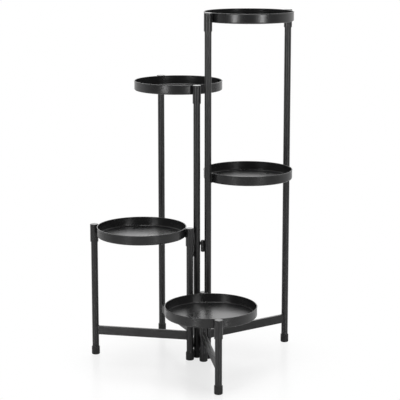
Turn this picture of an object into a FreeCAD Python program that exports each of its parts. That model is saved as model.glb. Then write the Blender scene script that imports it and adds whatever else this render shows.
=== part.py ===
import FreeCAD, Part
import math
import os

# Folding tiered plant stand: four narrow frames hinged side by side about upright pins.
# Each frame is two round legs joined low down by a flat cross bar, and carries one round
# tray between the tops of its legs. The tallest frame carries a second tray half way up,
# whose couplings join the upper and lower lengths of its legs.
# Millimetres. +Z is up and the floor is z = 0. The origin is on the floor under the inner
# leg of the right frame, the leg that the back and front frames are hinged to.

# ---- Frames: plan heading of each frame from its inner leg, and its highest tray rim ----
FRAME_HEADING = {"right": 34.5, "back": 112.5, "left": 168.5, "front": -82.0}
RIM_HEIGHT = {"right": 977.0, "back": 778.0, "left": 381.0, "front": 201.0}
MIDDLE_RIM_HEIGHT = 533.0

# ---- Legs ----
LEG_RADIUS = 9.5
LEG_WALL = 1.0
SLIP_CLEARANCE = 0.05

# ---- Trays ----
TRAY_RADIUS = 125.0
TRAY_DEPTH = 27.0
SHEET = 1.0
TRAY_CORNER_RADIUS = 4.0
LIP_RADIUS = 1.4

# ---- Sleeves that carry the trays on the legs ----
SLEEVE_WALL = 1.95
SLEEVE_LENGTH = 48.5
SLEEVE_BELOW_RIM = 1.5
LUG_GAP = 1.5
LUG_WIDTH = 5.0
LUG_HEIGHT = 23.0
LUG_BELOW_LIP = 1.0

# ---- Couplings that join the two lengths of the right frame's legs, flush with them ----
COUPLING_LENGTH = 47.0
COUPLING_ABOVE_RIM = 20.0
SPIGOT_LENGTH = 18.0

# ---- Caps over the sleeves ----
CAP_HEAD = 1.8
CAP_EDGE_RADIUS = 1.2
CAP_STEM = 6.0
CAP_HOLLOW_WALL = 1.6

# ---- Feet ----
FOOT_WALL = 1.95
FOOT_HEIGHT = 23.0
FOOT_SOLE = 3.0
FOOT_SOLE_RADIUS = 2.5
FOOT_LIP_CHAMFER = 0.8

# ---- Cross bars ----
BAR_BOTTOM = 59.0
BAR_HEIGHT = 25.0
BAR_THICKNESS = 10.0
BAR_WALL = 1.0
BAR_EDGE_RADIUS = 2.0

# ---- Hinges: two barrel hinges between each pair of frames ----
KNUCKLE_RADIUS = 6.0
KNUCKLE_HEIGHT = 16.5
KNUCKLE_END_RADIUS = 3.5
HINGE_WASHER = 1.0
PIN_RADIUS = 3.0
PIN_CLEARANCE = 0.05
PIN_END_WALL = 4.0
WELD_GAP = 1.5
WELD_WIDTH = 6.0
WELD_HEIGHT = 9.0
WELD_FROM_JOINT = 3.0
HINGE_ABOVE_FOOT = 5.0
HINGE_BELOW_SLEEVE = 3.0
BACK_HINGE_LEVEL = 325.0
LEFT_HINGE_TUCK = 11.0

# ---- Derived sizes ----
SLEEVE_BORE = LEG_RADIUS + SLIP_CLEARANCE
SLEEVE_RADIUS = SLEEVE_BORE + SLEEVE_WALL
FOOT_RADIUS = SLEEVE_BORE + FOOT_WALL
HALF_SPACING = TRAY_RADIUS + LUG_GAP + SLEEVE_RADIUS
LEG_SPACING = 2 * HALF_SPACING
HINGE_REACH = LEG_RADIUS + WELD_GAP + KNUCKLE_RADIUS
HINGE_HALF = HINGE_WASHER / 2 + KNUCKLE_HEIGHT
LOW_HINGE_LEVEL = FOOT_HEIGHT + HINGE_ABOVE_FOOT + HINGE_HALF
COUPLING_TOP = MIDDLE_RIM_HEIGHT + COUPLING_ABOVE_RIM
COUPLING_BOTTOM = COUPLING_TOP - COUPLING_LENGTH
TOLERANCE = 1e-6
UP = FreeCAD.Vector(0, 0, 1)
ORIGIN = FreeCAD.Vector(0, 0, 0)


def point(x, y, z):
    return FreeCAD.Vector(x, y, z)


def polar(radius, heading):
    """Horizontal vector of a given length, at a plan heading in degrees."""
    angle = math.radians(heading)
    return point(radius * math.cos(angle), radius * math.sin(angle), 0)


def rod(x, radius, bottom, top):
    """Upright solid rod, x away from the inner leg."""
    return Part.makeCylinder(radius, top - bottom, point(x, 0, bottom))


def ring(x, outer, inner, bottom, top):
    """Upright pipe, x away from the inner leg."""
    return rod(x, outer, bottom, top).cut(rod(x, inner, bottom, top))


def round_edges_at(shape, height, radius):
    """Fillet the circular edges that lie at one height."""
    edges = []
    for edge in shape.Edges:
        box = edge.BoundBox
        if abs(box.ZMin - height) < TOLERANCE and abs(box.ZMax - height) < TOLERANCE:
            edges.append(edge)
    return shape.makeFillet(radius, edges)


def place(shape, spot, heading):
    """Turn a piece modelled along +X to its frame's heading, then move it to the inner leg."""
    placed = shape.copy()
    placed.rotate(ORIGIN, UP, heading)
    placed.translate(spot)
    return placed


def save(node, solids):
    """Write one node. Pieces that are alike share a node as separate solids."""
    shape = solids[0] if len(solids) == 1 else Part.makeCompound(solids)
    shape.exportStep("parts/%s.step" % node)


# ---- Pieces of a frame, modelled with the inner leg on z and the frame along +X ----
def leg(x, bottom, top):
    return ring(x, LEG_RADIUS, LEG_RADIUS - LEG_WALL, bottom, top)


def foot(x):
    """Cup pushed over the end of a leg, with a rounded sole."""
    cup = round_edges_at(rod(x, FOOT_RADIUS, 0, FOOT_HEIGHT), 0, FOOT_SOLE_RADIUS)
    lip = [edge for edge in cup.Edges if abs(edge.BoundBox.ZMin - FOOT_HEIGHT) < TOLERANCE]
    cup = cup.makeChamfer(FOOT_LIP_CHAMFER, lip)
    return cup.cut(rod(x, SLEEVE_BORE, FOOT_SOLE, FOOT_HEIGHT))


def end_sleeve(x, top):
    return ring(x, SLEEVE_RADIUS, SLEEVE_BORE, top - SLEEVE_LENGTH, top)


def coupling(x):
    """Length of tube as wide as the leg, with a swaged spigot at each end that plugs into
    the bore of a leg."""
    bore = LEG_RADIUS - LEG_WALL
    spigot = bore - SLIP_CLEARANCE
    low, high = COUPLING_BOTTOM - SPIGOT_LENGTH, COUPLING_TOP + SPIGOT_LENGTH
    body = rod(x, LEG_RADIUS, COUPLING_BOTTOM, COUPLING_TOP)
    body = body.fuse(rod(x, spigot, low, high)).removeSplitter()
    return body.cut(rod(x, spigot - LEG_WALL, low, high))


def cap(x, seat):
    """Push-in cap: a low rounded head on the sleeve and a hollow stem down to the leg."""
    head = rod(x, SLEEVE_RADIUS, seat, seat + CAP_HEAD)
    head = round_edges_at(head, seat + CAP_HEAD, CAP_EDGE_RADIUS)
    stem_radius = SLEEVE_BORE - SLIP_CLEARANCE
    stem = rod(x, stem_radius, seat - CAP_STEM, seat)
    hollow = rod(x, stem_radius - CAP_HOLLOW_WALL, seat - CAP_STEM, seat)
    return head.fuse(stem.cut(hollow)).removeSplitter()


def tray(rim):
    """Round dish, as one section turned about its own centre: a flat floor, a rounded
    corner, an upright wall, and a lip rolled round on the wall's own middle line."""
    low = rim - TRAY_DEPTH
    turn = low + TRAY_CORNER_RADIUS
    bend = TRAY_RADIUS - TRAY_CORNER_RADIUS
    inner = TRAY_RADIUS - SHEET
    inner_bend = TRAY_CORNER_RADIUS - SHEET
    wall_top = rim - LIP_RADIUS - math.sqrt(LIP_RADIUS ** 2 - (SHEET / 2) ** 2)
    diagonal = math.sqrt(0.5)
    outer_corner = Part.Arc(
        point(bend, 0, low),
        point(bend + TRAY_CORNER_RADIUS * diagonal, 0, turn - TRAY_CORNER_RADIUS * diagonal),
        point(TRAY_RADIUS, 0, turn))
    rolled_lip = Part.Arc(
        point(TRAY_RADIUS, 0, wall_top),
        point(TRAY_RADIUS - SHEET / 2, 0, rim),
        point(inner, 0, wall_top))
    inner_corner = Part.Arc(
        point(inner, 0, turn),
        point(bend + inner_bend * diagonal, 0, turn - inner_bend * diagonal),
        point(bend, 0, low + SHEET))
    section = [
        Part.LineSegment(point(0, 0, low), point(bend, 0, low)),
        outer_corner,
        Part.LineSegment(point(TRAY_RADIUS, 0, turn), point(TRAY_RADIUS, 0, wall_top)),
        rolled_lip,
        Part.LineSegment(point(inner, 0, wall_top), point(inner, 0, turn)),
        inner_corner,
        Part.LineSegment(point(bend, 0, low + SHEET), point(0, 0, low + SHEET)),
        Part.LineSegment(point(0, 0, low + SHEET), point(0, 0, low)),
    ]
    wire = Part.Wire([curve.toShape() for curve in section])
    dish = Part.Face(wire).revolve(ORIGIN, UP, 360)
    dish.translate(point(HALF_SPACING, 0, 0))
    return dish


def lug(x, rim, holder_radius):
    """Small plate under the lip that fills the gap between the tray's wall and the sleeve
    or coupling that holds it."""
    reach = HALF_SPACING - TRAY_RADIUS + SHEET
    start = x if x < HALF_SPACING else x - reach
    top = rim - 2 * LIP_RADIUS - LUG_BELOW_LIP
    corner = point(start, -LUG_WIDTH / 2, top - LUG_HEIGHT)
    plate = Part.makeBox(reach, LUG_WIDTH, LUG_HEIGHT, corner)
    plate = plate.cut(rod(x, holder_radius, rim - TRAY_DEPTH, rim))
    return plate.cut(rod(HALF_SPACING, TRAY_RADIUS, rim - TRAY_DEPTH, rim))


def cross_bar():
    """Rectangular tube laid on edge, its ends coped to the legs' round sides."""
    start = point(0, -BAR_THICKNESS / 2, BAR_BOTTOM)
    bar = Part.makeBox(LEG_SPACING, BAR_THICKNESS, BAR_HEIGHT, start)
    long_edges = [edge for edge in bar.Edges if abs(edge.Length - LEG_SPACING) < TOLERANCE]
    bar = bar.makeFillet(BAR_EDGE_RADIUS, long_edges)
    hollow_start = start + point(0, BAR_WALL, BAR_WALL)
    width = BAR_THICKNESS - 2 * BAR_WALL
    bar = bar.cut(Part.makeBox(LEG_SPACING, width, BAR_HEIGHT - 2 * BAR_WALL, hollow_start))
    for x in (0, LEG_SPACING):
        bar = bar.cut(rod(x, LEG_RADIUS, BAR_BOTTOM, BAR_BOTTOM + BAR_HEIGHT))
    return bar


# ---- Hinges, modelled with the pin on z and the leg they are welded to along +X ----
def weld(middle):
    """Weld run between a knuckle and its leg, HINGE_REACH away along +X."""
    corner = point(0, -WELD_WIDTH / 2, middle - WELD_HEIGHT / 2)
    run = Part.makeBox(HINGE_REACH, WELD_WIDTH, WELD_HEIGHT, corner)
    leg_side = rod(HINGE_REACH, LEG_RADIUS, middle - WELD_HEIGHT, middle + WELD_HEIGHT)
    return run.cut(leg_side)


def lower_knuckle(level):
    """Half that holds the pin: blind bore from above, rounded lower end."""
    top = level - HINGE_WASHER / 2
    bottom = top - KNUCKLE_HEIGHT
    barrel = round_edges_at(rod(0, KNUCKLE_RADIUS, bottom, top), bottom, KNUCKLE_END_RADIUS)
    barrel = barrel.fuse(weld(top - WELD_FROM_JOINT - WELD_HEIGHT / 2))
    return barrel.cut(rod(0, PIN_RADIUS, bottom + PIN_END_WALL, top))


def upper_knuckle(level):
    """Half that turns on the pin: blind bore from below with running clearance."""
    bottom = level + HINGE_WASHER / 2
    top = bottom + KNUCKLE_HEIGHT
    barrel = round_edges_at(rod(0, KNUCKLE_RADIUS, bottom, top), top, KNUCKLE_END_RADIUS)
    barrel = barrel.fuse(weld(bottom + WELD_FROM_JOINT + WELD_HEIGHT / 2))
    return barrel.cut(rod(0, PIN_RADIUS + PIN_CLEARANCE, bottom, top - PIN_END_WALL))


def hinge_pin(level):
    half = HINGE_HALF - PIN_END_WALL
    return rod(0, PIN_RADIUS, level - half, level + half - PIN_CLEARANCE)


def hinge_washer(level):
    half = HINGE_WASHER / 2
    return ring(0, KNUCKLE_RADIUS, PIN_RADIUS + PIN_CLEARANCE, level - half, level + half)


def hinge_lines(clockwise, counter, tuck=0):
    """Plan vectors from the two inner legs to the pin between them. The clockwise frame
    lies to the right of the pin, looking out along the frames. Welding each knuckle a
    quarter of the opening angle off square lets the frames fold parallel, leg beside leg.
    A tuck turns both knuckles by some degrees more, and brings the legs closer together."""
    opening = FRAME_HEADING[counter] - FRAME_HEADING[clockwise]
    middle = FRAME_HEADING[clockwise] + opening / 2
    square = 90 - opening / 4 - tuck
    return polar(HINGE_REACH, middle + square), polar(HINGE_REACH, middle - square)


def heading_of(vector):
    return math.degrees(math.atan2(vector.y, vector.x))


# ---- Where the inner legs and the hinge pins stand ----
right_to_pin, back_to_pin = hinge_lines("right", "back")
back_to_left_pin, left_to_pin = hinge_lines("back", "left", LEFT_HINGE_TUCK)
front_to_pin, right_to_front_pin = hinge_lines("front", "right")
spot = {"right": ORIGIN}
pin_spot = {"back": spot["right"] + right_to_pin}
spot["back"] = pin_spot["back"] - back_to_pin
pin_spot["left"] = spot["back"] + back_to_left_pin
spot["left"] = pin_spot["left"] - left_to_pin
pin_spot["front"] = spot["right"] + right_to_front_pin
spot["front"] = pin_spot["front"] - front_to_pin


def sleeve_top(frame):
    return RIM_HEIGHT[frame] - SLEEVE_BELOW_RIM


def level_under_sleeve(frame):
    """Middle of a hinge that sits just below the sleeves of a frame."""
    return sleeve_top(frame) - SLEEVE_LENGTH - HINGE_BELOW_SLEEVE - HINGE_HALF


# Each pair of hinges is named after the frame that swings on it. It has the frame that
# holds the pins, and the level of its upper hinge.
HINGES = {
    "back": ("right", BACK_HINGE_LEVEL),
    "left": ("back", level_under_sleeve("left")),
    "front": ("right", level_under_sleeve("front")),
}


def save_frame_piece(frame, node, solids):
    placed = [place(solid, spot[frame], FRAME_HEADING[frame]) for solid in solids]
    save("%s_%s" % (frame, node), placed)


def build_legs(frame, side, x):
    """One leg with its foot and sleeve. The right frame's legs come in two lengths."""
    leg_top = sleeve_top(frame) - CAP_STEM
    if frame == "right":
        save_frame_piece(frame, side + "_leg_lower", [leg(x, FOOT_SOLE, COUPLING_BOTTOM)])
        save_frame_piece(frame, side + "_leg_upper", [leg(x, COUPLING_TOP, leg_top)])
        save_frame_piece(frame, side + "_coupling", [coupling(x)])
    else:
        save_frame_piece(frame, side + "_leg", [leg(x, FOOT_SOLE, leg_top)])
    save_frame_piece(frame, side + "_foot", [foot(x)])
    save_frame_piece(frame, side + "_sleeve", [end_sleeve(x, sleeve_top(frame))])


def build_frame(frame):
    sides = {"inner": 0, "outer": LEG_SPACING}
    rim = RIM_HEIGHT[frame]
    for side, x in sides.items():
        build_legs(frame, side, x)
    save_frame_piece(frame, "cross_bar", [cross_bar()])
    save_frame_piece(frame, "tray", [tray(rim)])
    lugs = [lug(x, rim, SLEEVE_RADIUS) for x in sides.values()]
    save_frame_piece(frame, "tray_lugs", lugs)
    caps = [cap(x, sleeve_top(frame)) for x in sides.values()]
    save_frame_piece(frame, "sleeve_caps", caps)
    if frame == "right":
        lugs = [lug(x, MIDDLE_RIM_HEIGHT, LEG_RADIUS) for x in sides.values()]
        save_frame_piece(frame, "middle_tray", [tray(MIDDLE_RIM_HEIGHT)])
        save_frame_piece(frame, "middle_tray_lugs", lugs)


def build_hinges(swinger):
    holder, upper_level = HINGES[swinger]
    levels = (LOW_HINGE_LEVEL, upper_level)
    pin = pin_spot[swinger]
    to_holder = heading_of(spot[holder] - pin)
    to_swinger = heading_of(spot[swinger] - pin)
    lower = [place(lower_knuckle(level), pin, to_holder) for level in levels]
    upper = [place(upper_knuckle(level), pin, to_swinger) for level in levels]
    pins = [place(hinge_pin(level), pin, 0) for level in levels]
    washers = [place(hinge_washer(level), pin, 0) for level in levels]
    save("%s_hinge_lower_knuckles" % swinger, lower)
    save("%s_hinge_upper_knuckles" % swinger, upper)
    save("%s_hinge_pins" % swinger, pins)
    save("%s_hinge_washers" % swinger, washers)


os.makedirs("parts", exist_ok=True)
for frame_name in FRAME_HEADING:
    build_frame(frame_name)
for hinge_name in HINGES:
    build_hinges(hinge_name)
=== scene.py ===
"""Looks of a folding plant stand: four hinged tube frames with five round steel trays,
all in satin black powder coat. Metres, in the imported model's own frame."""

import math

import bpy
import numpy as np
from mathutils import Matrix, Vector


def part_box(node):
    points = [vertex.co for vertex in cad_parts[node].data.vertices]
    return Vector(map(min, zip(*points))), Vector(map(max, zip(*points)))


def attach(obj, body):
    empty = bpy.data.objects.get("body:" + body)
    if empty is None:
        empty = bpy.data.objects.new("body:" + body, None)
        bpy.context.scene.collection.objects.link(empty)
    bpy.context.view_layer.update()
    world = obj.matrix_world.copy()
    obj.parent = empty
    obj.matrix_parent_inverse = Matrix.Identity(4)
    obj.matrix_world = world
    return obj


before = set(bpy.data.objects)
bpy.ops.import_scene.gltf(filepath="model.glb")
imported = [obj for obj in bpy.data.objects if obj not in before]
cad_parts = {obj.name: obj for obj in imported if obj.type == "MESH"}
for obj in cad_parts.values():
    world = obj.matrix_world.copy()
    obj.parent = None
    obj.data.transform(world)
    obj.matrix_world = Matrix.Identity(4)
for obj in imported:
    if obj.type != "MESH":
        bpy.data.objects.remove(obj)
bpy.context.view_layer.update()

MM = 0.001
TURN = 2 * math.pi

# ---- Sizes of the stand that the weld beads are laid to ----
LEG_RADIUS = 9.5 * MM
SLEEVE_RADIUS = 11.5 * MM
TRAY_RADIUS = 125 * MM
LUG_HALF_WIDTH = 2.5 * MM
BAR_HALF_THICKNESS = 5 * MM
BAR_EDGE_RADIUS = 2 * MM
KNUCKLE_RADIUS = 6 * MM
HINGE_RUN_HALF_WIDTH = 3 * MM
HINGE_RUN_HEIGHT = 9 * MM
HINGE_RUN_FROM_JOINT = 3.5 * MM
HINGE_BEAD_PAST_KNUCKLE = 0.4 * MM
HALF_WASHER = 0.5 * MM

# ---- Weld beads ----
BEAD_RADIUS = 1.25 * MM
SMALL_BEAD_RADIUS = 0.8 * MM
RIPPLE_PITCH = 1.7 * MM
RIPPLE_SHARE = 0.13
BEAD_SIDES = 12
STEPS_PER_RIPPLE = 6
FEWEST_STEPS = 8
CORNER_STEPS = 9
LEAST_TIP_SHARE = 0.02

# ---- Textures: features per metre, and bump distances in metres ----
CLOUD_SCALE = 14.0
COAT_GRAIN_SCALE = 2600.0
COAT_GRAIN_DISTANCE = 0.000008
SLOW_WAVE_SCALE = 7.0
PEEL_DISTANCE = 0.00002
MOULD_GRAIN_SCALE = 1500.0
FLOW_SCALE = 60.0
RING_SCALE = 900.0
RING_DISTANCE = 0.00001
STAIN_SCALE = 240.0

# ---- Camera, fitted to the trays, feet and sleeves ----
FOCAL_PIXELS = 1368.5
PICTURE_PIXELS = 400
SENSOR_WIDTH = 36.0
CAMERA_PLACE = (-0.0219, -3.7337, 1.2243)
CAMERA_PITCH = 10.254
CAMERA_SHIFT = -0.08
CAMERA_REACH = 50

# ---- Floor, as seen by the camera: its own shading by the feet, white further out ----
FLOOR_GREY = 0.68
FLOOR_ROUGHNESS = 0.24
FLOOR_HALF = 4.0
FLOOR_LINES = 9
FADE_OFFSET = (0.03, 0.07, 0)
FADE_START, FADE_END = 0.16, 0.5
WHITE_NEAR, WHITE_FAR = 0.72, 1.0

# ---- Surroundings: strengths by kind of ray, and how far round the backdrop reaches ----
SEEN_STRENGTH = 1.0
EVEN_STRENGTH = 0.45
ROOM_STRENGTH, BACKDROP_STRENGTH = 0.25, 1.0
ROOM_EDGE, BACKDROP_EDGE = -0.6, 0.3

# ---- Lamps: name, azimuth, distance, height, width, length, power ----
LAMP_AIM = (0.0, 0.0, 0.6)
LAMPS = (
    ("left_softbox", -36, 2.6, 0.83, 0.36, 0.64, 16.5),
    ("right_softbox", 34, 2.6, 0.83, 0.36, 0.64, 16.5),
    ("top_softbox", 180, 0.2, 2.7, 1.4, 1.2, 55),
    ("backdrop_light", 180, 3.2, 1.35, 3.0, 1.0, 9),
    ("rim_light", 180, 3.0, 2.7, 3.0, 1.4, 36),
)


# ==== Meshes ====
def mesh_piece(name, points, faces, finish):
    """A mesh object from an array of points and a list of faces, shaded smooth."""
    mesh = bpy.data.meshes.new(name)
    mesh.from_pydata(points.tolist(), [], faces)
    mesh.polygons.foreach_set("use_smooth", np.full(len(mesh.polygons), True))
    mesh.materials.append(finish)
    mesh.update()
    piece = bpy.data.objects.new(name, mesh)
    bpy.context.scene.collection.objects.link(piece)
    return piece


def skin(rows, columns, closed):
    """Faces of a grid of points whose columns run round a tube. Closed: the last row
    joins the first. Open: two more points, one at each end, close the tube with fans."""
    row, column = np.meshgrid(
        np.arange(rows if closed else rows - 1), np.arange(columns), indexing="ij"
    )
    beside = (column + 1) % columns
    above = (row + 1) % rows
    quads = np.stack(
        [
            row * columns + column,
            row * columns + beside,
            above * columns + beside,
            above * columns + column,
        ],
        axis=-1,
    )
    faces = quads.reshape(-1, 4).tolist()
    if not closed:
        around = np.arange(columns)
        first, last = rows * columns, rows * columns + 1
        end = (rows - 1) * columns
        after = (around + 1) % columns
        start_fan = np.stack([np.full(columns, first), after, around], axis=-1)
        end_fan = np.stack(
            [np.full(columns, last), end + around, end + after], axis=-1
        )
        faces += start_fan.tolist() + end_fan.tolist()
    return faces


def unit(vectors):
    return vectors / np.linalg.norm(vectors, axis=-1, keepdims=True)


def weld_bead(path, outward, radius, closed):
    """Points and faces of one weld bead: a circle carried along a path. With s the
    length along the path and a the angle round it, the point is path(s) + r(s) (cos a *
    outward + sin a * side). r(s) = radius (1 - share + 2 share |sin(pi n s / length)|)
    makes n ripples. An open bead's r(s) also falls as a quarter ellipse, almost to
    nothing, over one ripple at each end."""
    steps = np.linalg.norm(np.diff(path, axis=0), axis=1)
    length = np.concatenate([[0], np.cumsum(steps)])
    total = length[-1]
    if closed:
        path, outward, length = path[:-1], outward[:-1], length[:-1]
        tangent = unit(np.roll(path, -1, axis=0) - np.roll(path, 1, axis=0))
    else:
        tangent = unit(np.gradient(path, axis=0))
    ripples = max(1, round(total / RIPPLE_PITCH))
    swell = np.abs(np.sin(math.pi * ripples * length / total))
    r = radius * (1 - RIPPLE_SHARE + 2 * RIPPLE_SHARE * swell)
    if not closed:
        from_end = np.clip(np.minimum(length, total - length) / RIPPLE_PITCH, 0, 1)
        r = r * np.sqrt(np.clip(1 - (1 - from_end) ** 2, LEAST_TIP_SHARE, 1))
    along = (outward * tangent).sum(1, keepdims=True)
    outward = unit(outward - along * tangent)
    side = np.cross(tangent, outward)
    a = np.arange(BEAD_SIDES) * TURN / BEAD_SIDES
    ring = (
        np.cos(a)[None, :, None] * outward[:, None, :]
        + np.sin(a)[None, :, None] * side[:, None, :]
    )
    points = (path[:, None, :] + r[:, None, None] * ring).reshape(-1, 3)
    if not closed:
        points = np.concatenate([points, path[:1], path[-1:]])
    return points, skin(len(path), BEAD_SIDES, closed)


def upright_bead(spot, outward, low, high):
    """Straight small weld bead up a corner, from one height to another."""
    count = round((high - low) / RIPPLE_PITCH * STEPS_PER_RIPPLE)
    count = max(FEWEST_STEPS, count)
    z = np.linspace(low, high, count)
    path = np.stack([np.full(count, spot[0]), np.full(count, spot[1]), z], axis=1)
    away = np.tile([outward[0], outward[1], 0.0], (count, 1))
    return weld_bead(path, away, SMALL_BEAD_RADIUS, closed=False)


def bar_bead(toward, low, high):
    """Weld bead round the end of a cross bar, where it meets a round leg on the z axis:
    the bar's rounded-rectangle outline (y, z) wrapped on the leg, x = sqrt(R^2 - y^2).
    The bar leaves the leg along the plan direction toward."""
    half_y = BAR_HALF_THICKNESS - BAR_EDGE_RADIUS
    half_z = (high - low) / 2 - BAR_EDGE_RADIUS
    corners = np.array([[1, 1], [-1, 1], [-1, -1], [1, -1]]) * [half_y, half_z]
    turn = np.linspace(0, TURN / 4, CORNER_STEPS)
    arcs = []
    for quarter, corner in enumerate(corners):
        angle = turn + quarter * TURN / 4
        rounded = np.stack([np.cos(angle), np.sin(angle)], axis=1)
        arcs.append(corner + BAR_EDGE_RADIUS * rounded)
    outline = np.concatenate(arcs + [arcs[0][:1]])
    sides = np.linalg.norm(np.diff(outline, axis=0), axis=1)
    run = np.concatenate([[0], np.cumsum(sides)])
    count = round(run[-1] / RIPPLE_PITCH) * STEPS_PER_RIPPLE + 1
    s = np.linspace(0, run[-1], count)
    y = np.interp(s, run, outline[:, 0])
    z = np.interp(s, run, outline[:, 1])
    x = np.sqrt(LEG_RADIUS**2 - y**2)
    flat = np.zeros_like(y)
    local = np.stack([x, y, z + (low + high) / 2], axis=1)
    outward = np.stack([flat, y / BAR_HALF_THICKNESS, z / (high - low) * 2], axis=1)
    cos, sin = toward
    turned = np.array([[cos, -sin, 0], [sin, cos, 0], [0, 0, 1]])
    return weld_bead(local @ turned.T, outward @ turned.T, BEAD_RADIUS, closed=True)


def joined(name, parts, finish, body):
    """One piece made of several beads, riding on a body."""
    points, faces, start = [], [], 0
    for spots, skins in parts:
        points.append(spots)
        faces += [[start + corner for corner in face] for face in skins]
        start += len(spots)
    piece = mesh_piece(name, np.concatenate(points), faces, finish)
    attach(piece, body)


# ==== Finishes ====
def finish_nodes(name):
    """A new material with its shader, short ways to add nodes and links, and a node
    of object coordinates."""
    material = bpy.data.materials.new(name)
    material.use_nodes = True
    tree = material.node_tree
    shader = tree.nodes["Principled BSDF"]

    def add(kind, **sockets):
        node = tree.nodes.new("ShaderNode" + kind)
        for socket, value in sockets.items():
            node.inputs[socket.replace("_", " ")].default_value = value
        return node

    def link(source, output, target, socket):
        tree.links.new(source.outputs[output], target.inputs[socket])

    place = tree.nodes.new("ShaderNodeTexCoord")
    return material, shader, add, link, place


def noise(add, link, place, scale, detail=2.0, roughness=0.5):
    """Solid noise in object space; scale is features per metre."""
    node = add("TexNoise", Scale=scale, Detail=detail, Roughness=roughness)
    link(place, "Object", node, "Vector")
    return node


def spread(add, link, source, low, high, socket="Fac"):
    """A noise value carried to the range low..high."""
    node = add("MapRange")
    node.inputs["From Min"].default_value = 0.3
    node.inputs["From Max"].default_value = 0.7
    node.inputs["To Min"].default_value = low
    node.inputs["To Max"].default_value = high
    link(source, socket, node, "Value")
    return node


def tones(add, link, value, dark, light):
    """Colour between a dark and a light tone by a value from 0 to 1."""
    node = add("Mix")
    node.data_type = "RGBA"
    node.inputs[6].default_value = (*dark, 1)
    node.inputs[7].default_value = (*light, 1)
    link(value, 0, node, 0)
    return node


def bump(add, link, height, distance, strength, under=None):
    """Bump from a height texture, laid over another bump where one is given."""
    node = add("Bump", Strength=strength, Distance=distance)
    link(height, "Fac", node, "Height")
    if under is not None:
        link(under, "Normal", node, "Normal")
    return node


def powder_coat(name, dark, light, rough_low, rough_high, peel_scale, wave, gloss):
    """Satin black powder coat: orange peel, a fine dry grain over it, cloudy roughness,
    and a slow wave of the sheet or tube below."""
    material, shader, add, link, place = finish_nodes(name)
    cloud = noise(add, link, place, CLOUD_SCALE, detail=3.0)
    grain = noise(add, link, place, COAT_GRAIN_SCALE, detail=2.0)
    peel = noise(add, link, place, peel_scale, detail=1.5)
    slow = noise(add, link, place, SLOW_WAVE_SCALE, detail=1.0)
    tone = spread(add, link, grain, 0.0, 1.0)
    colour = tones(add, link, tone, dark, light)
    link(colour, 2, shader, "Base Color")
    rough = spread(add, link, cloud, rough_low, rough_high)
    link(rough, "Result", shader, "Roughness")
    waves = bump(add, link, slow, wave, strength=1.0)
    peels = bump(add, link, peel, PEEL_DISTANCE, strength=0.35, under=waves)
    grains = bump(add, link, grain, COAT_GRAIN_DISTANCE, strength=0.35, under=peels)
    link(grains, "Normal", shader, "Normal")
    shader.inputs["IOR"].default_value = 1.5
    shader.inputs["Specular IOR Level"].default_value = gloss
    return material


def moulded_plastic(name, dark, light, rough_low, rough_high, grain_depth):
    """Black moulded plastic: a spark-eroded mould grain, slight flow marks, and soft
    variation of roughness."""
    material, shader, add, link, place = finish_nodes(name)
    grain = noise(add, link, place, MOULD_GRAIN_SCALE, detail=3.0, roughness=0.6)
    flow = noise(add, link, place, FLOW_SCALE, detail=2.0)
    tone = spread(add, link, flow, 0.0, 1.0)
    colour = tones(add, link, tone, dark, light)
    link(colour, 2, shader, "Base Color")
    rough = spread(add, link, flow, rough_low, rough_high)
    link(rough, "Result", shader, "Roughness")
    grains = bump(add, link, grain, grain_depth, strength=0.6)
    link(grains, "Normal", shader, "Normal")
    shader.inputs["IOR"].default_value = 1.46
    shader.inputs["Specular IOR Level"].default_value = 0.42
    return material


def turned_steel(name):
    """Turned steel dulled by black oxide: fine rings round the upright pin, and stain."""
    material, shader, add, link, place = finish_nodes(name)
    rings = add("TexWave", Scale=RING_SCALE, Distortion=1.2, Detail=2.0)
    rings.bands_direction = "Z"
    link(place, "Object", rings, "Vector")
    stain = noise(add, link, place, STAIN_SCALE, detail=3.0)
    tone = spread(add, link, stain, 0.0, 1.0)
    colour = tones(add, link, tone, (0.10, 0.10, 0.105), (0.2, 0.2, 0.205))
    link(colour, 2, shader, "Base Color")
    rough = spread(add, link, stain, 0.3, 0.45)
    link(rough, "Result", shader, "Roughness")
    turned = bump(add, link, rings, RING_DISTANCE, strength=0.4)
    link(turned, "Normal", shader, "Normal")
    shader.inputs["Metallic"].default_value = 1.0
    return material


finishes = {
    "frame_coat": powder_coat(
        "satin black frame coat",
        dark=(0.008, 0.008, 0.0083),
        light=(0.013, 0.013, 0.0133),
        rough_low=0.30,
        rough_high=0.36,
        peel_scale=520.0,
        wave=0.00004,
        gloss=0.45,
    ),
    "tray_coat": powder_coat(
        "satin black tray coat",
        dark=(0.007, 0.007, 0.0073),
        light=(0.012, 0.012, 0.0123),
        rough_low=0.26,
        rough_high=0.32,
        peel_scale=460.0,
        wave=0.0004,
        gloss=0.5,
    ),
    "foot_plastic": moulded_plastic(
        "black foot plastic",
        dark=(0.010, 0.010, 0.010),
        light=(0.016, 0.016, 0.016),
        rough_low=0.5,
        rough_high=0.6,
        grain_depth=0.00005,
    ),
    "cap_plastic": moulded_plastic(
        "black cap plastic",
        dark=(0.010, 0.010, 0.010),
        light=(0.016, 0.016, 0.016),
        rough_low=0.2,
        rough_high=0.28,
        grain_depth=0.00001,
    ),
    "pin_steel": turned_steel("dark turned steel"),
}

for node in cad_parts.values():
    slot_name = node.data.materials[0].name.split(".")[0]
    node.material_slots[0].link = "OBJECT"
    node.material_slots[0].material = finishes[slot_name]


# ==== Weld beads ====
def middle_of(node_name):
    """Plan centre of a CAD node's box."""
    low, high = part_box(node_name)
    return np.array([(low.x + high.x) / 2, (low.y + high.y) / 2])


def heights_of(node_name):
    low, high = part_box(node_name)
    return low.z, high.z


def shifted(part, spot):
    points, faces = part
    return points + np.array([spot[0], spot[1], 0.0]), faces


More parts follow.
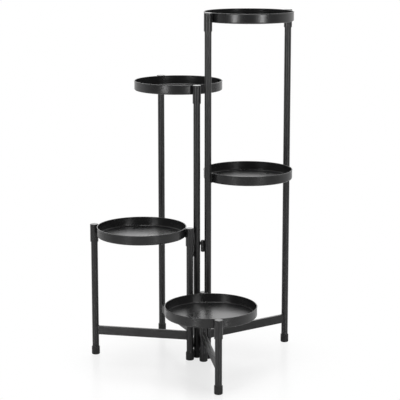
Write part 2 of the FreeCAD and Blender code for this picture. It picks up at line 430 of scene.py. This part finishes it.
def lug_beads(leg, tray, holder_radius, low, high):
    """Two beads in the corners beside a lug, in the middle of the gap between a tray and
    the sleeve or leg that holds it."""
    toward = unit(tray - leg)
    across = np.array([-toward[1], toward[0]])
    edge = np.linalg.norm(tray - leg) - TRAY_RADIUS
    reach = (holder_radius + edge) / 2
    return [
        upright_bead(
            leg + toward * reach + across * side * LUG_HALF_WIDTH,
            across * side,
            low,
            high,
        )
        for side in (-1, 1)
    ]


for frame_name in ("right", "back", "left", "front"):
    body = frame_name + "_frame"
    lower = "_leg_lower" if frame_name == "right" else "_leg"
    legs = [middle_of(frame_name + side + lower) for side in ("_inner", "_outer")]
    tray_centre = (legs[0] + legs[1]) / 2
    low, high = heights_of(frame_name + "_cross_bar")
    ends = [
        shifted(bar_bead(unit(other - leg), low, high), leg)
        for leg, other in (legs, legs[::-1])
    ]
    joined(frame_name + "_bar_welds", ends, finishes["frame_coat"], body)
    holders = {"_tray": SLEEVE_RADIUS}
    if frame_name == "right":
        holders["_middle_tray"] = LEG_RADIUS
    for tray_name, holder in holders.items():
        low, high = heights_of(frame_name + tray_name + "_lugs")
        beads = []
        for leg in legs:
            beads += lug_beads(leg, tray_centre, holder, low, high)
        name = frame_name + tray_name + "_welds"
        joined(name, beads, finishes["frame_coat"], body)


def hinge_beads(pin, leg, levels):
    """Beads up both sides of the weld run between each knuckle and its leg."""
    toward = unit(leg - pin)
    across = np.array([-toward[1], toward[0]])
    spot = pin + toward * (KNUCKLE_RADIUS + HINGE_BEAD_PAST_KNUCKLE)
    return [
        upright_bead(
            spot + across * side * HINGE_RUN_HALF_WIDTH,
            across * side,
            low,
            low + HINGE_RUN_HEIGHT,
        )
        for low in levels
        for side in (-1, 1)
    ]


for swinger, holder in (("back", "right"), ("left", "back"), ("front", "right")):
    pin = middle_of(swinger + "_hinge_pins")
    washer_low, washer_high = heights_of(swinger + "_hinge_washers")
    joints = (washer_low + HALF_WASHER, washer_high - HALF_WASHER)
    for half, owner in (("lower", holder), ("upper", swinger)):
        leg_node = owner + ("_inner_leg_lower" if owner == "right" else "_inner_leg")
        if half == "lower":
            starts = [z - HINGE_RUN_FROM_JOINT - HINGE_RUN_HEIGHT for z in joints]
        else:
            starts = [z + HINGE_RUN_FROM_JOINT for z in joints]
        beads = hinge_beads(pin, middle_of(leg_node), starts)
        name = "%s_hinge_%s_welds" % (swinger, half)
        joined(name, beads, finishes["frame_coat"], owner + "_frame")


# ==== Studio ====
def studio_floor():
    """Pale floor that keeps the stand's shadow and fades to plain white further out."""
    material, shader, add, link, place = finish_nodes("pale studio floor")
    shader.inputs["Base Color"].default_value = (FLOOR_GREY, FLOOR_GREY, FLOOR_GREY, 1)
    shader.inputs["Roughness"].default_value = FLOOR_ROUGHNESS
    tree = material.node_tree
    output = tree.nodes["Material Output"]
    white = add("Emission", Strength=1.0)
    distance = add("VectorMath")
    distance.operation = "LENGTH"
    from_middle = add("Mapping")
    from_middle.inputs["Location"].default_value = FADE_OFFSET
    link(place, "Object", from_middle, "Vector")
    link(from_middle, "Vector", distance, 0)
    fade = add("MapRange")
    fade.interpolation_type = "SMOOTHSTEP"
    fade.inputs["From Min"].default_value = FADE_START
    fade.inputs["From Max"].default_value = FADE_END
    fade.inputs["To Min"].default_value = WHITE_NEAR
    fade.inputs["To Max"].default_value = WHITE_FAR
    link(distance, "Value", fade, "Value")
    rays = add("LightPath")
    seen = add("Math")
    seen.operation = "MULTIPLY"
    link(rays, "Is Camera Ray", seen, 0)
    link(fade, "Result", seen, 1)
    mix = add("MixShader")
    link(seen, "Value", mix, 0)
    link(shader, "BSDF", mix, 1)
    link(white, "Emission", mix, 2)
    link(mix, "Shader", output, "Surface")
    grid = np.linspace(-FLOOR_HALF, FLOOR_HALF, FLOOR_LINES)
    x, y = np.meshgrid(grid, grid, indexing="ij")
    points = np.stack([x.ravel(), y.ravel(), np.zeros(x.size)], axis=1)
    cells = np.arange(FLOOR_LINES - 1)
    i, j = np.meshgrid(cells, cells, indexing="ij")
    corner = (i * FLOOR_LINES + j).ravel()
    beyond = corner + FLOOR_LINES
    faces = np.stack([corner, beyond, beyond + 1, corner + 1], axis=1)
    floor = mesh_piece("studio_floor", points, faces.tolist(), material)


def studio_world():
    """Surroundings: white for the camera, and for plain light an even grey. Reflections
    see the white backdrop behind the stand and a dimmer room on the camera's side."""
    world = bpy.data.worlds.new("studio surroundings")
    bpy.context.scene.world = world
    world.use_nodes = True
    tree = world.node_tree
    link = tree.links.new

    def strength_of(value):
        node = tree.nodes.new("ShaderNodeBackground")
        node.inputs["Color"].default_value = (1, 1, 1, 1)
        node.inputs["Strength"].default_value = value
        return node

    seen, even = strength_of(SEEN_STRENGTH), strength_of(EVEN_STRENGTH)
    mirrored = strength_of(BACKDROP_STRENGTH)
    direction = tree.nodes.new("ShaderNodeTexCoord")
    parts = tree.nodes.new("ShaderNodeSeparateXYZ")
    link(direction.outputs["Generated"], parts.inputs[0])
    depth = tree.nodes.new("ShaderNodeMapRange")
    depth.interpolation_type = "SMOOTHSTEP"
    depth.inputs["From Min"].default_value = ROOM_EDGE
    depth.inputs["From Max"].default_value = BACKDROP_EDGE
    depth.inputs["To Min"].default_value = ROOM_STRENGTH
    depth.inputs["To Max"].default_value = BACKDROP_STRENGTH
    link(parts.outputs["Y"], depth.inputs["Value"])
    link(depth.outputs["Result"], mirrored.inputs["Strength"])
    rays = tree.nodes.new("ShaderNodeLightPath")
    shiny = tree.nodes.new("ShaderNodeMath")
    shiny.operation = "MAXIMUM"
    link(rays.outputs["Is Glossy Ray"], shiny.inputs[0])
    link(rays.outputs["Is Transmission Ray"], shiny.inputs[1])
    for_light = tree.nodes.new("ShaderNodeMixShader")
    link(shiny.outputs[0], for_light.inputs[0])
    link(even.outputs[0], for_light.inputs[1])
    link(mirrored.outputs[0], for_light.inputs[2])
    for_all = tree.nodes.new("ShaderNodeMixShader")
    link(rays.outputs["Is Camera Ray"], for_all.inputs[0])
    link(for_light.outputs[0], for_all.inputs[1])
    link(seen.outputs[0], for_all.inputs[2])
    link(for_all.outputs[0], tree.nodes["World Output"].inputs["Surface"])


def softbox(name, azimuth, distance, height, width, tall, power):
    """Area lamp at a plan angle from the camera's side, turned to the stand."""
    lamp = bpy.data.lights.new(name, "AREA")
    lamp.shape = "RECTANGLE"
    lamp.size = width
    lamp.size_y = tall
    lamp.energy = power
    box = bpy.data.objects.new(name, lamp)
    angle = math.radians(azimuth)
    box.location = (distance * math.sin(angle), -distance * math.cos(angle), height)
    box.rotation_mode = "QUATERNION"
    direction = Vector(LAMP_AIM) - box.location
    box.rotation_quaternion = direction.to_track_quat("-Z", "Y")
    box.visible_camera = False
    bpy.context.scene.collection.objects.link(box)


studio_floor()
studio_world()
for lamp_row in LAMPS:
    softbox(*lamp_row)

camera = bpy.data.cameras.new("camera")
camera.sensor_width = SENSOR_WIDTH
camera.lens = FOCAL_PIXELS * SENSOR_WIDTH / PICTURE_PIXELS
camera.shift_y = CAMERA_SHIFT
camera.clip_end = CAMERA_REACH
viewpoint = bpy.data.objects.new("camera", camera)
viewpoint.location = CAMERA_PLACE
viewpoint.rotation_euler = (math.radians(90 - CAMERA_PITCH), 0, 0)
bpy.context.scene.collection.objects.link(viewpoint)
bpy.context.scene.camera = viewpoint
bpy.context.scene.view_settings.view_transform = "Standard"
